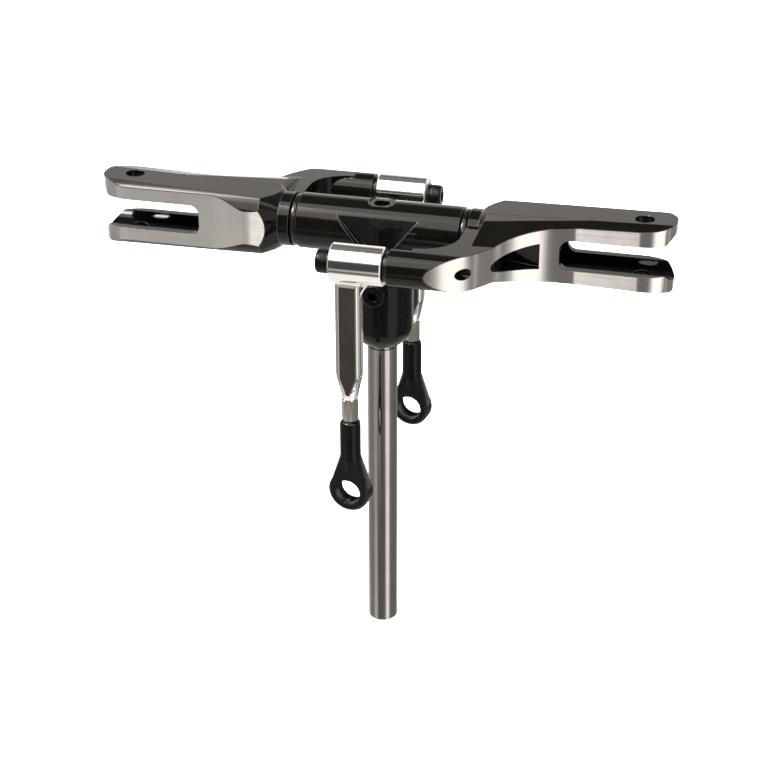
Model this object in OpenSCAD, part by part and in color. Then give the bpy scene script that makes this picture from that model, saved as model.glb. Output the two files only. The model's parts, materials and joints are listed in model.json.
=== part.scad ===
// Main rotor head of a small radio-controlled helicopter on a length of its main shaft.
// X runs along the feathering axis, Z up the shaft, and the origin is the shaft's lower end.
// Shapes are drawn about the hub centre for the right side; the left side is half a turn away.

/* [Main shaft] */
// Radius of the main shaft
shaft_r = 2.5; // [2.45:0.01:2.55]
// Height of the feathering axis above the lower end of the shaft
hub_z = 74; // [65:1:90]

/* [Housing] */
// Radius of the cross tube
housing_r = 4.5; // [4.4:0.05:4.6]
// Half the length of the cross tube
housing_half = 13.3; // [13.2:0.05:13.35]
// Radius of the stem that takes the shaft
stem_r = 5.1; // [5:0.05:5.2]
// Lower end of the stem, below the feathering axis
stem_drop = 20.6; // [19:0.1:21]
// Radius of the stem's rounded lower edge
stem_round = 4; // [3:0.1:4.5]
// Distance of the through bolt below the feathering axis
through_bolt_drop = 9.5; // [8.5:0.1:11]

/* [Spindle] */
// Radius of the feathering shaft
spindle_r = 2; // [1.98:0.01:2]
// Half the length of the feathering shaft
spindle_half = 26.7; // [26.5:0.05:26.7]
// Radius of the damper seats in the housing
damper_r = 3.5; // [3.4:0.05:3.6]

/* [Blade grip] */
// Radius of the turned grip body
body_r = 6.5; // [6.4:0.05:6.6]
// Half the height between the top and bottom flats, at the blade bolt
flat_half = 5.42; // [5.35:0.01:5.5]
// Slope by which each flat rises towards the fork
flat_taper = 1.6; // [1.4:0.1:1.8]
// Radius of the collar at the inboard end
collar_r = 4.4; // [4.3:0.05:4.5]
// Distance of the blade bolt from the shaft axis
blade_bolt_x = 41.8; // [41:0.1:42.5]
// Radius of the blade bolt hole
blade_bolt_r = 1.55; // [1.5:0.01:1.6]
// Height of the slot for the blade root
slot_h = 4.9; // [4.8:0.05:5]
// Half the width of the fork
fork_half = 4.6; // [4.5:0.05:4.8]
// Outer end of the fork
fork_tip_x = 46.9; // [46:0.1:48]

/* [Pitch arm] */
// Distance of the link pivot in front of the feathering axis
arm_reach = 15.7; // [15.5:0.05:15.9]
// Radius of the round end of the arm
arm_r = 2.9; // [2.85:0.01:2.95]
// Slope of the gusset between grip body and arm
gusset_slope = 17; // [16.5:0.1:17.5]

/* [Pitch link] */
// Radius of the link barrel
barrel_r = 3.1; // [3.05:0.01:3.15]
// Sideways place of the link blade along the pivot
link_x = -1.3; // [-1.4:0.05:-1.2]
// Width of the link blade
link_w = 4.2; // [4:0.05:4.3]
// Thickness of the link blade
link_t = 2.9; // [2.8:0.05:3]
// Lower end of the link blade, below the pivot
link_drop = 23; // [22.8:0.1:23.2]

/* [Ball link] */
// Distance of the ball socket below the pivot
socket_drop = 39.75; // [39.4:0.05:40.1]
// Outer radius of the socket ring
socket_ring_r = 3.5; // [3.4:0.05:3.6]
// Radius of the socket's mouth
socket_mouth_r = 2.15; // [2.1:0.01:2.2]
// Turn of the ball link about its stud at rest
ball_link_turn = -8; // [-60:1:60]

/* [Hidden] */
$fn = 64;

// Room by which a cutter passes the face that it opens
past = 1;
// Radial room of a part that sits or turns in its seat
fit = 0.02;
// A length that reaches beyond the whole head
far = 60;

// Shaft, with a slightly relieved seat inside the stem
shaft_top = -5.4;
shaft_chamfer = 0.3;
shaft_seat_r = shaft_r - 0.2;
shaft_seat_top = -5.2;
shaft_shoulder = -stem_drop - 0.1;

// Housing
stem_top = -2.5;
spindle_room_r = 2.7;
damper_x0 = 7.2;
damper_x1 = 13.2;
spot_face_r = 2.2;
spot_face_z = 4.15;
top_hole_r = 1.3;
panel_depth_y = 3.5;
panel_top_half = 6.7;
panel_bottom_half = 2.1;
panel_half_h = 2.9;
panel_cut = 3;

// M2 fasteners of the stem and of the link pivots
m2_r = 1;
m2_head_r = 1.9;
m2_head_h = 1.95;
m2_socket_af = 1.5;
m2_socket_depth = 1;
m2_nut_af = 4;
m2_nut_h = 2.3;
bolt_seat_y = 4.6;
head_seat_r = 2.1;
nut_seat_r = 2.45;
through_bolt_end_y = 7.2;

// Spindle screws
spindle_screw_r = 1.25;
spindle_screw_l = 7;
spindle_tap_depth = 8;
spindle_head_r = 2.2;
spindle_head_h = 1.5;
spindle_socket_af = 2;
spindle_washer_r = 2.6;
spindle_washer_x0 = 26.8;
spindle_washer_h = 0.5;

// Thin spacer rings that show between the housing and the grips
spacer_flange_r = 4.2;
spacer_flange_x0 = 13.5;
spacer_flange_x1 = 14.2;
spacer_boss_r = 2.6;
spacer_boss_x1 = 17.18;

// Radial bearings of the grips
bearing_r = 4;
bearing_w = 3;
bearing_x = [17.2, 23.75];
bearing_ball_r = 0.6;
bearing_ball_count = 8;
bearing_ring_gap = 0.6;

// Thrust bearing of a grip, between its two radial bearings
thrust_race_h = 0.9;
thrust_grip_x0 = 20.22;
thrust_shaft_x0 = 22.82;
thrust_shaft_race_r = 3.7;
thrust_ball_x = 21.97;
thrust_ball_r = 0.92;
thrust_ball_count = 8;
thrust_pitch_r = 3;

// Bearings of the link pivot
link_bearing_r = 2;
link_bearing_w = 1.5;
link_ball_r = 0.28;
link_ball_count = 7;
link_ring_gap = 0.28;

// Grip body along the feathering axis
grip_x0 = 14.5;
cone_x0 = 16.3;
cone_x1 = 19;
collar_bore_r = 2.9;
slot_x0 = 29.5;
slot_round = 1.5;
tip_length = 5.4;
tip_flat_half = 0.5;
square_x0 = 24;
shoulder_y = -2;
shoulder_slope = 11;

// Plan of the silver side walls
root_half = 5.85;
root_x1 = 21.3;
root_bend_x = 20.3;
root_bend = 4.5;
fork_x0 = 27.2;
swell_handle = 1.5;
wall_tip = [10.65, -18.72];
wall_tip_handle = [6.9, 2.08];
wall_mid = [20.2, -11.2];
wall_mid_dir = [0.574, 0.819];
wall_mid_handles = [2.95, 3.02];
wall_fork_x = 32;
wall_fork_handle = [6.38, 0.4];
wall_steps = 40;
wall_curve_1 = [
    wall_tip,
    wall_tip + wall_tip_handle,
    wall_mid - wall_mid_handles[0] * wall_mid_dir,
    wall_mid
];
wall_curve_2 = [
    wall_mid,
    wall_mid + wall_mid_handles[1] * wall_mid_dir,
    [wall_fork_x, -fork_half] - wall_fork_handle,
    [wall_fork_x, -fork_half]
];
swell_curve = [
    [fork_x0, fork_half],
    [fork_x0 - swell_handle, fork_half],
    [root_x1 + swell_handle, root_half],
    [root_x1, root_half]
];

// Arm and gusset
arm_x0 = 5.2;
arm_x1 = 18;
arm_plate_x1 = 34;
arm_inner_c = [8.5, -8.2];
arm_inner_r = 6;
gusset_edge = [18, -2.94];
gusset_turn = 5.8;
gusset_run = (flat_half - arm_r) / tan(gusset_slope);
ridge_x = 17.8;
ridge_slope = 69;
ridge_run = (flat_half - arm_r) / tan(ridge_slope);

// Lightening pocket in the arm wall
pocket_x0 = 20;
pocket_x1 = 26.5;
pocket_half = 2.05;
pocket_floor_y = -5;
pocket_steps = 10;

// Pivot bolt, washers and link barrel along the pivot
barrel_x0 = -3.95;
barrel_x1 = 4.5;
head_washer_x = [-4.32, -4.02];
arm_washer_x = [4.57, 5.18];
head_washer_r = 1.95;
arm_washer_r = 2.4;
pivot_bolt_end_x = 14.2;
pivot_tap_r = 0.88;

// Link blade and stud
link_bevel = 0.6;
link_bore_r = 1.35;
link_fillet_top = 2.4;
link_fillet_right = 3.3;
link_fillet_left = 0.5;
link_cone_top = 14;
link_cone_r = 3.2;
link_end_r = 1.25;
stud_top = 16.5;
stud_hex_top = 23.05;
stud_hex_bottom = 26.9;
stud_hex_af = 2.4;
stud_end = 34;

// Ball link
neck_r = 1.69;
neck_top = 27;
neck_round = 0.7;
neck_bottom = 33.6;
neck_end_r = 1.35;
neck_end = 36.6;
ring_half_t = 1.4;
ring_bevel = 0.45;
flare_top = 33.4;
flare_low_r = 3.35;
flare_bottom = 38.77;
socket_ball_r = 2.4;

// Points of a cubic curve through the control points p
function bezier(p, n) = [
    for (i = [0:n])
        let (t = i / n, s = 1 - t)
        s * s * s * p[0] + 3 * s * s * t * p[1] + 3 * s * t * t * p[2] + t * t * t * p[3]
];

// Points of a round or oval arc about c with the radii r, from angle a0 to a1
function arc(c, r, a0, a1, n) = [
    for (i = [0:n])
        let (a = a0 + (a1 - a0) * i / n)
        c + [r[0] * cos(a), r[1] * sin(a)]
];

// Circumscribed radius of a hexagon with the given width across flats
function hex_r(af) = af / sqrt(3);

// Places the right side, or the left side half a turn away, at the hub
module at_hub(left = false) {
    translate([0, 0, hub_z])
        rotate([0, 0, left ? 180 : 0])
            children();
}

// Puts a shape at the link pivot
module at_pivot() {
    translate([0, -arm_reach, 0])
        children();
}

// Both sides of something that turns with the spindle
module both_sides() {
    at_hub(false)
        children();
    at_hub(true)
        children();
}

// Turns a shape drawn along Z to lie along X, starting at x
module along_x(x) {
    translate([x, 0, 0])
        rotate([0, 90, 0])
            children();
}

module rod_x(x0, x1, r) {
    along_x(x0)
        cylinder(r = r, h = x1 - x0);
}

module ring_x(x0, x1, r_in, r_out) {
    difference() {
        rod_x(x0, x1, r_out);
        rod_x(x0 - past, x1 + past, r_in);
    }
}

// Extrudes an outline drawn in X and Z through the whole head along Y
module through_y(depth = 2 * far) {
    rotate([90, 0, 0])
        linear_extrude(height = depth, center = true)
            children();
}

// Screw with its head above z = 0 and its shank below
module cap_screw(r, length, head_r, head_h, socket_af, socket_depth) {
    difference() {
        union() {
            cylinder(r = head_r, h = head_h);
            translate([0, 0, -length])
                cylinder(r = r, h = length + head_h / 2);
        }
        translate([0, 0, head_h - socket_depth])
            cylinder(r = hex_r(socket_af), h = socket_depth + past, $fn = 6);
    }
}

// Section of a bearing ring between two radii, with its ball groove
module ring_section(r_in, r_out, w, pitch_r, groove_r) {
    difference() {
        translate([r_in, 0])
            square([r_out - r_in, w]);
        translate([pitch_r, w / 2])
            circle(r = groove_r);
    }
}

module outer_ring(x0, shaft, r, w, gap, ball_r) {
    pitch_r = (shaft + r) / 2;
    along_x(x0)
        rotate_extrude()
            ring_section(pitch_r + gap / 2, r - fit, w, pitch_r, ball_r + fit);
}

module inner_ring(x0, shaft, r, w, gap, ball_r) {
    pitch_r = (shaft + r) / 2;
    along_x(x0)
        rotate_extrude()
            ring_section(shaft + fit, pitch_r - gap / 2, w, pitch_r, ball_r + fit);
}

module ball_circle(x, pitch_r, ball_r, count) {
    for (i = [0:count - 1])
        rotate([i * 360 / count, 0, 0])
            translate([x, pitch_r, 0])
                sphere(r = ball_r);
}

// Fixed hub

module main_shaft() {
    color("lightgray")
        translate([0, 0, hub_z])
            difference() {
                union() {
                    translate([0, 0, -hub_z])
                        cylinder(r1 = shaft_r - shaft_chamfer, r2 = shaft_r, h = shaft_chamfer);
                    translate([0, 0, shaft_chamfer - hub_z])
                        cylinder(r = shaft_r, h = hub_z + shaft_shoulder - shaft_chamfer);
                    translate([0, 0, shaft_shoulder])
                        cylinder(r = shaft_seat_r, h = shaft_top - shaft_shoulder);
                }
                through_bolt_hole();
            }
}

module through_bolt_hole() {
    translate([0, 0, -through_bolt_drop])
        rotate([90, 0, 0])
            cylinder(r = m2_r + fit, h = 2 * far, center = true);
}

module stem_outline() {
    translate([0, stem_round - stem_drop])
        square([stem_r, stem_top + stem_drop - stem_round]);
    translate([0, -stem_drop])
        square([stem_r - stem_round, stem_round]);
    intersection() {
        translate([stem_r - stem_round, stem_round - stem_drop])
            circle(r = stem_round);
        translate([0, -stem_drop])
            square([stem_r, stem_round]);
    }
}

// Flat recess with slanting ends, milled into the front or back of the cross tube
module panel_recess() {
    translate([0, -panel_depth_y - panel_cut / 2, 0])
        through_y(panel_cut)
            polygon([
                [-panel_top_half, panel_half_h],
                [-panel_bottom_half, -panel_half_h],
                [panel_bottom_half, -panel_half_h],
                [panel_top_half, panel_half_h]
            ]);
}

module bolt_seat(r, side) {
    translate([0, side * bolt_seat_y, -through_bolt_drop])
        rotate([-90 * side, 0, 0])
            cylinder(r = r, h = far);
}

module rotor_housing() {
    color("black")
        at_hub()
            difference() {
                union() {
                    rod_x(-housing_half, housing_half, housing_r);
                    rotate_extrude()
                        stem_outline();
                }
                rod_x(-housing_half - past, housing_half + past, spindle_room_r);
                for (turn = [0, 180])
                    rotate([0, 0, turn]) {
                        rod_x(damper_x0, housing_half + past, damper_r);
                        panel_recess();
                    }
                translate([0, 0, -stem_drop - past])
                    cylinder(r = shaft_seat_r + fit, h = stem_drop + past + shaft_seat_top);
                translate([0, 0, spot_face_z])
                    cylinder(r = spot_face_r, h = past);
                cylinder(r = top_hole_r, h = far);
                through_bolt_hole();
                bolt_seat(head_seat_r, -1);
                bolt_seat(nut_seat_r, 1);
            }
}

module through_bolt() {
    color("dimgray")
        at_hub()
            translate([0, -bolt_seat_y, -through_bolt_drop])
                rotate([90, 0, 0])
                    cap_screw(m2_r, bolt_seat_y + through_bolt_end_y, m2_head_r, m2_head_h,
                        m2_socket_af, m2_socket_depth);
}

module through_bolt_nut() {
    color("silver")
        at_hub()
            translate([0, bolt_seat_y, -through_bolt_drop])
                rotate([-90, 0, 0])
                    difference() {
                        cylinder(r = hex_r(m2_nut_af), h = m2_nut_h, $fn = 6);
                        translate([0, 0, -past])
                            cylinder(r = m2_r + fit, h = m2_nut_h + 2 * past);
                    }
}

module damper() {
    ring_x(damper_x0, damper_x1, spindle_r + fit, damper_r - fit);
}

module damper_right() {
    color("darkslategray")
        at_hub(false)
            damper();
}

module damper_left() {
    color("darkslategray")
        at_hub(true)
            damper();
}

// Spindle and what is fixed to it

module feathering_shaft() {
    color("lightgray")
        at_hub()
            difference() {
                rod_x(-spindle_half, spindle_half, spindle_r);
                for (turn = [0, 180])
                    rotate([0, 0, turn])
                        rod_x(spindle_half - spindle_tap_depth, far, spindle_screw_r + fit);
            }
}

module spindle_screws() {
    color("dimgray")
        both_sides()
            along_x(spindle_washer_x0 + spindle_washer_h)
                cap_screw(spindle_screw_r, spindle_screw_l, spindle_head_r, spindle_head_h,
                    spindle_socket_af, spindle_head_h / 2);
}

module spindle_washers() {
    color("silver")
        both_sides()
            ring_x(spindle_washer_x0, spindle_washer_x0 + spindle_washer_h,
                spindle_screw_r + fit, spindle_washer_r);
}

module damper_spacers() {
    color("dimgray")
        both_sides()
            difference() {
                union() {
                    rod_x(spacer_flange_x0, spacer_flange_x1, spacer_flange_r);
                    rod_x(spacer_flange_x0, spacer_boss_x1, spacer_boss_r);
                }
                rod_x(0, far, spindle_r + fit);
            }
}

module bearing_inner_rings() {
    color("silver")
        both_sides()
            for (x = bearing_x)
                inner_ring(x, spindle_r, bearing_r, bearing_w, bearing_ring_gap, bearing_ball_r);
}

module thrust_race(x0, r_in, r_out) {
    difference() {
        ring_x(x0, x0 + thrust_race_h, r_in, r_out);
        along_x(thrust_ball_x)
            rotate_extrude()
                translate([thrust_pitch_r, 0])
                    circle(r = thrust_ball_r + fit);
    }
}

module thrust_shaft_races() {
    color("silver")
        both_sides()
            thrust_race(thrust_shaft_x0, spindle_r + fit, thrust_shaft_race_r);
}

// Blade grips and what is fixed to them

// Height of the top flat at a distance x from the shaft axis
function flat_z(x) = flat_half + (x - blade_bolt_x) * tan(flat_taper);

// Wedge between the top and bottom flats
module between_flats() {
    through_y()
        polygon([[0, flat_z(0)], [far, flat_z(far)], [far, -flat_z(far)], [0, -flat_z(0)]]);
}

// Everything under the top flat and under the shoulder that falls from it towards the arm
module under_shoulder() {
    translate([blade_bolt_x, 0, flat_half])
        rotate([0, -flat_taper, 0])
            rotate([90, 0, 90])
                linear_extrude(height = 2 * far, center = true)
                    polygon([
                        [far, 0],
                        [shoulder_y, 0],
                        [-far, -(far + shoulder_y) * tan(shoulder_slope)],
                        [-far, -2 * far],
                        [far, -2 * far]
                    ]);
}

// Round body with its collar and cone; the fork is square on the side of the arm
module turned_body() {
    intersection() {
        union() {
            rod_x(grip_x0, cone_x0, collar_r);
            along_x(cone_x0)
                cylinder(r1 = collar_r, r2 = body_r, h = cone_x1 - cone_x0);
            rod_x(cone_x1, fork_tip_x + past, body_r);
            translate([square_x0, -body_r, -body_r])
                cube([fork_tip_x + past - square_x0, body_r, 2 * body_r]);
        }
        under_shoulder();
        mirror([0, 0, 1])
            under_shoulder();
    }
}

// Roof outline from the flats down to the thickness of the arm; u grows towards the arm
module roof_outline(ridge, run) {
    polygon([
        [ridge - far, -flat_half],
        [ridge, -flat_half],
        [ridge + run, -arm_r],
        [ridge + run, arm_r],
        [ridge, flat_half],
        [ridge - far, flat_half]
    ]);
}

module arm_plan() {
    polygon(concat(
        [[arm_plate_x1, 0], [grip_x0, 0]],
        arc(arm_inner_c, [arm_inner_r, arm_inner_r], 0, -90, wall_steps),
        [[arm_inner_c[0], -arm_reach], [arm_plate_x1, -arm_reach]]
    ));
}

// Sloping web that carries the top and bottom flats out towards the arm
module gusset() {
    intersection() {
        linear_extrude(height = 2 * flat_half, center = true)
            arm_plan();
        between_flats();
        translate([gusset_edge[0], gusset_edge[1], 0])
            rotate([0, 0, gusset_turn - 90])
                through_y()
                    roof_outline(0, gusset_run);
        rotate([0, 0, 180])
            through_y()
                roof_outline(-ridge_x, ridge_run);
    }
}

module arm_skin() {
    linear_extrude(height = 2 * arm_r, center = true)
        arm_plan();
    at_pivot()
        rod_x(arm_x0, arm_x1, arm_r);
    gusset();
}

// Plan that the side walls are machined to
module wall_plan() {
    tip_r = [tip_length, fork_half - tip_flat_half];
    tip_x = fork_tip_x - tip_length;
    polygon(concat(
        [[0, wall_tip[1]]],
        bezier(wall_curve_1, wall_steps),
        bezier(wall_curve_2, wall_steps),
        arc([tip_x, -tip_flat_half], tip_r, -90, 0, wall_steps),
        arc([tip_x, tip_flat_half], tip_r, 0, 90, wall_steps),
        bezier(swell_curve, wall_steps),
        [[root_bend_x, root_half], [0, root_half - root_bend_x * tan(root_bend)]]
    ));
}

module slot_outline() {
    translate([slot_x0 + slot_round, -slot_h / 2])
        square([far, slot_h]);
    translate([slot_x0, slot_round - slot_h / 2])
        square([far, slot_h - 2 * slot_round]);
    for (side = [-1, 1])
        translate([slot_x0 + slot_round, side * (slot_h / 2 - slot_round)])
            circle(r = slot_round);
}

module pocket() {
    tip = [pocket_x0, -pocket_half / 8];
    top = [pocket_x1, pocket_half];
    bottom = [pocket_x1, -pocket_half];
    translate([0, pocket_floor_y - far / 2, 0])
        through_y(far)
            polygon(concat(
                bezier([top, top - [3, 0.4], tip + [0.4, 1.3], tip], pocket_steps),
                bezier([tip, tip - [0.1, 1.2], bottom - [5.2, -0.4], bottom], pocket_steps)
            ));
}

module blade_grip() {
    difference() {
        intersection() {
            union() {
                turned_body();
                arm_skin();
            }
            linear_extrude(height = 2 * far, center = true)
                wall_plan();
        }
        rod_x(0, bearing_x[0] + past, collar_bore_r);
        rod_x(bearing_x[0], far, bearing_r);
        through_y()
            slot_outline();
        translate([blade_bolt_x, 0, 0])
            cylinder(r = blade_bolt_r, h = far, center = true);
        pocket();
        at_pivot() {
            rod_x(0, pivot_bolt_end_x + fit, m2_r + fit);
            rod_x(0, far, pivot_tap_r);
        }
    }
}

module bearing_outer_rings() {
    for (x = bearing_x)
        outer_ring(x, spindle_r, bearing_r, bearing_w, bearing_ring_gap, bearing_ball_r);
}

module bearing_balls() {
    for (x = bearing_x)
        ball_circle(x + bearing_w / 2, (spindle_r + bearing_r) / 2, bearing_ball_r, bearing_ball_count);
}

module thrust_grip_race() {
    thrust_race(thrust_grip_x0, thrust_pitch_r - bearing_ring_gap, bearing_r - fit);
}

module thrust_balls() {
    ball_circle(thrust_ball_x, thrust_pitch_r, thrust_ball_r, thrust_ball_count);
}

module pivot_bolt() {
    at_pivot()
        along_x(head_washer_x[0])
            rotate([180, 0, 0])
                cap_screw(m2_r, pivot_bolt_end_x - head_washer_x[0], m2_head_r, m2_head_h,
                    m2_socket_af, m2_socket_depth);
}

module pivot_washers() {
    at_pivot() {
        ring_x(head_washer_x[0], head_washer_x[1], m2_r + fit, head_washer_r);
        ring_x(arm_washer_x[0], arm_washer_x[1], m2_r + fit, arm_washer_r);
    }
}

// Start of each bearing in the ends of the link barrel
link_bearing_x = [barrel_x0, barrel_x1 - link_bearing_w];

module link_inner_rings() {
    at_pivot()
        for (x = link_bearing_x)
            inner_ring(x, m2_r, link_bearing_r, link_bearing_w, link_ring_gap, link_ball_r);
}

// Pitch links

module link_outer_rings() {
    at_pivot()
        for (x = link_bearing_x)
            outer_ring(x, m2_r, link_bearing_r, link_bearing_w, link_ring_gap, link_ball_r);
}

module link_balls() {
    at_pivot()
        for (x = link_bearing_x)
            ball_circle(x + link_bearing_w / 2, (m2_r + link_bearing_r) / 2, link_ball_r, link_ball_count);
}

// Cross-section of the link blade, with bevelled edges
module blade_section() {
    x = link_w / 2;
    y = link_t / 2;
    polygon([
        [-x, link_bevel - y], [link_bevel - x, -y], [x - link_bevel, -y], [x, link_bevel - y],
        [x, y - link_bevel], [x - link_bevel, y], [link_bevel - x, y], [-x, y - link_bevel]
    ]);
}

// Concave corner between the barrel and one edge of the blade; side is -1 or 1
module blade_fillet(side, r) {
    translate([link_x + side * link_w / 2, 0, 0])
        mirror([side < 0 ? 1 : 0, 0, 0])
            through_y(link_t - 2 * link_bevel)
                difference() {
                    translate([-link_bevel, -link_fillet_top - r])
                        square([r + link_bevel, r]);
                    translate([r, -link_fillet_top - r])
                        circle(r = r);
                }
}

module link_blade() {
    intersection() {
        translate([link_x, 0, -link_drop])
            linear_extrude(height = link_drop)
                blade_section();
        translate([link_x, 0, 0])
            union() {
                translate([0, 0, -link_drop])
                    cylinder(r1 = link_end_r, r2 = link_cone_r, h = link_drop - link_cone_top);
                translate([0, 0, -link_cone_top])
                    cylinder(r = link_cone_r, h = link_cone_top);
            }
    }
    blade_fillet(1, link_fillet_right);
    blade_fillet(-1, link_fillet_left);
}

module link_arm() {
    at_pivot()
        difference() {
            union() {
                rod_x(barrel_x0, barrel_x1, barrel_r);
                link_blade();
            }
            rod_x(-far, far, link_bore_r);
            for (x = link_bearing_x)
                rod_x(x < 0 ? -far : x, x < 0 ? x + link_bearing_w : far, link_bearing_r);
            translate([link_x, 0, -link_drop - past])
                cylinder(r = m2_r + fit, h = link_drop + past - stud_top + past);
        }
}

module link_stud() {
    at_pivot()
        translate([link_x, 0, 0]) {
            translate([0, 0, -stud_end])
                cylinder(r = m2_r, h = stud_end - stud_top);
            translate([0, 0, -stud_hex_bottom])
                cylinder(r = hex_r(stud_hex_af), h = stud_hex_bottom - stud_hex_top, $fn = 6);
        }
}

// Half section of the round neck of the ball link, with a rounded top edge
module neck_outline() {
    translate([0, -neck_bottom])
        square([neck_r, neck_bottom - neck_top - neck_round]);
    translate([0, -neck_top - neck_round])
        square([neck_r - neck_round, neck_round]);
    translate([neck_r - neck_round, -neck_top - neck_round])
        circle(r = neck_round);
}

// Section of the socket ring, bevelled at its outer edges
module ring_outline() {
    polygon([
        [0, -ring_half_t],
        [socket_ring_r - ring_bevel, -ring_half_t],
        [socket_ring_r, ring_bevel - ring_half_t],
        [socket_ring_r, ring_half_t - ring_bevel],
        [socket_ring_r - ring_bevel, ring_half_t],
        [0, ring_half_t]
    ]);
}

// Half section of the ball seat with its mouths
module socket_outline() {
    translate([0, -far / 2])
        square([socket_mouth_r, far]);
    intersection() {
        circle(r = socket_ball_r);
        translate([0, -far / 2])
            square(far);
    }
}

// Cone that widens from the neck to the ring, cut to the ring's thickness
module flare() {
    intersection() {
        translate([0, 0, -flare_bottom])
            cylinder(r1 = flare_low_r, r2 = neck_r, h = flare_bottom - flare_top);
        cube([2 * far, 2 * ring_half_t, 2 * far], center = true);
    }
}

module ball_link() {
    at_pivot()
        translate([link_x, 0, 0])
            rotate([0, 0, ball_link_turn])
                difference() {
                    union() {
                        rotate_extrude()
                            neck_outline();
                        translate([0, 0, -neck_end])
                            cylinder(r1 = neck_end_r, r2 = neck_r, h = neck_end - neck_bottom);
                        flare();
                        translate([0, 0, -socket_drop])
                            rotate([90, 0, 0])
                                rotate_extrude()
                                    ring_outline();
                    }
                    translate([0, 0, -stud_end - fit])
                        cylinder(r = m2_r + fit, h = stud_end);
                    translate([0, 0, -socket_drop])
                        rotate([90, 0, 0])
                            rotate_extrude()
                                socket_outline();
                }
}

module blade_grip_right() color([0.12, 0.12, 0.12]) at_hub(false) blade_grip();
module blade_grip_left() color([0.12, 0.12, 0.12]) at_hub(true) blade_grip();
module bearing_outer_rings_right() color("silver") at_hub(false) bearing_outer_rings();
module bearing_outer_rings_left() color("silver") at_hub(true) bearing_outer_rings();
module bearing_balls_right() color("gainsboro") at_hub(false) bearing_balls();
module bearing_balls_left() color("gainsboro") at_hub(true) bearing_balls();
module thrust_grip_race_right() color("silver") at_hub(false) thrust_grip_race();
module thrust_grip_race_left() color("silver") at_hub(true) thrust_grip_race();
module thrust_balls_right() color("gainsboro") at_hub(false) thrust_balls();
module thrust_balls_left() color("gainsboro") at_hub(true) thrust_balls();
module pivot_bolt_right() color("dimgray") at_hub(false) pivot_bolt();
module pivot_bolt_left() color("dimgray") at_hub(true) pivot_bolt();
module pivot_washers_right() color("gray") at_hub(false) pivot_washers();
module pivot_washers_left() color("gray") at_hub(true) pivot_washers();
module link_inner_rings_right() color("silver") at_hub(false) link_inner_rings();
module link_inner_rings_left() color("silver") at_hub(true) link_inner_rings();
module link_arm_right() color("whitesmoke") at_hub(false) link_arm();
module link_arm_left() color("whitesmoke") at_hub(true) link_arm();
module link_outer_rings_right() color("silver") at_hub(false) link_outer_rings();
module link_outer_rings_left() color("silver") at_hub(true) link_outer_rings();
module link_balls_right() color("gainsboro") at_hub(false) link_balls();
module link_balls_left() color("gainsboro") at_hub(true) link_balls();
module link_stud_right() color("darkgray") at_hub(false) link_stud();
module link_stud_left() color("darkgray") at_hub(true) link_stud();
module ball_link_right() color([0.08, 0.08, 0.08]) at_hub(false) ball_link();
module ball_link_left() color([0.08, 0.08, 0.08]) at_hub(true) ball_link();

main_shaft();
rotor_housing();
through_bolt();
through_bolt_nut();
damper_right();
damper_left();
feathering_shaft();
spindle_screws();
spindle_washers();
damper_spacers();
bearing_inner_rings();
thrust_shaft_races();
blade_grip_right();
bearing_outer_rings_right();
bearing_balls_right();
thrust_grip_race_right();
thrust_balls_right();
pivot_bolt_right();
pivot_washers_right();
link_inner_rings_right();
link_arm_right();
link_outer_rings_right();
link_balls_right();
link_stud_right();
ball_link_right();
blade_grip_left();
bearing_outer_rings_left();
bearing_balls_left();
thrust_grip_race_left();
thrust_balls_left();
pivot_bolt_left();
pivot_washers_left();
link_inner_rings_left();
link_arm_left();
link_outer_rings_left();
link_balls_left();
link_stud_left();
ball_link_left();
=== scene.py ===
"""Looks of a small radio-controlled helicopter's rotor head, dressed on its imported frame.

Sizes in the classes are millimetres about the hub centre, drawn for the right side. The left side is half a
turn away. Every mesh is put into the row frame in metres, with its object at the origin.
"""

import json
import logging
import math
from dataclasses import dataclass
from enum import Enum
from typing import Sequence

import bmesh
import bpy
import numpy as np
from mathutils import Matrix, Vector


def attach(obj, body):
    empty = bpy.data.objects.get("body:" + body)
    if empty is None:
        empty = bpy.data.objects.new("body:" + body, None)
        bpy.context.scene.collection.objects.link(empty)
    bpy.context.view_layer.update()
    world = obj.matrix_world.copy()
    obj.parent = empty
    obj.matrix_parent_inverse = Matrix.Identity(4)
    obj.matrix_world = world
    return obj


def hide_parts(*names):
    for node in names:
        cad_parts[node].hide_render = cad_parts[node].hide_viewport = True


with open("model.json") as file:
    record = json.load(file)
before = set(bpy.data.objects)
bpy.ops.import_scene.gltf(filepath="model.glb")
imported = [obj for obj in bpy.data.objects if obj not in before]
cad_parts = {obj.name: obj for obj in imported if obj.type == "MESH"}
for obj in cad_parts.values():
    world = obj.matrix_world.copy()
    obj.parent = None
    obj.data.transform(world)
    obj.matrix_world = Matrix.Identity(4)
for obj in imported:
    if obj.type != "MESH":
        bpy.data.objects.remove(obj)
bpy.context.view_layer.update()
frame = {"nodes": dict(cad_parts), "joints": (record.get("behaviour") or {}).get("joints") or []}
LOG = logging.getLogger("rotor_head")
MM = 0.001
TURN = 2 * math.pi
HUB_Z = next(j["pos_m"][2] for j in frame["joints"] if j["name"] == "spindle_rock") / MM
Triple = tuple[float, float, float]
Colour = Triple


class Side(Enum):
    """The two blades' sides of the head, with the sign that half a turn gives to X and Y."""

    RIGHT = 1
    LEFT = -1

    def node(self, base: str) -> str:
        """Name of this side's node or body."""
        return f"{base}_{self.name.lower()}"

    def place(self, points: np.ndarray) -> np.ndarray:
        """Row-frame metres of hub-centred millimetres drawn for the right side."""
        return (points * [self.value, self.value, 1] + [0, 0, HUB_Z]) * MM

    def local(self, points: np.ndarray) -> np.ndarray:
        """Hub-centred millimetres on the right side of row-frame metres."""
        return (points / MM - [0, 0, HUB_Z]) * [self.value, self.value, 1]


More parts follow.
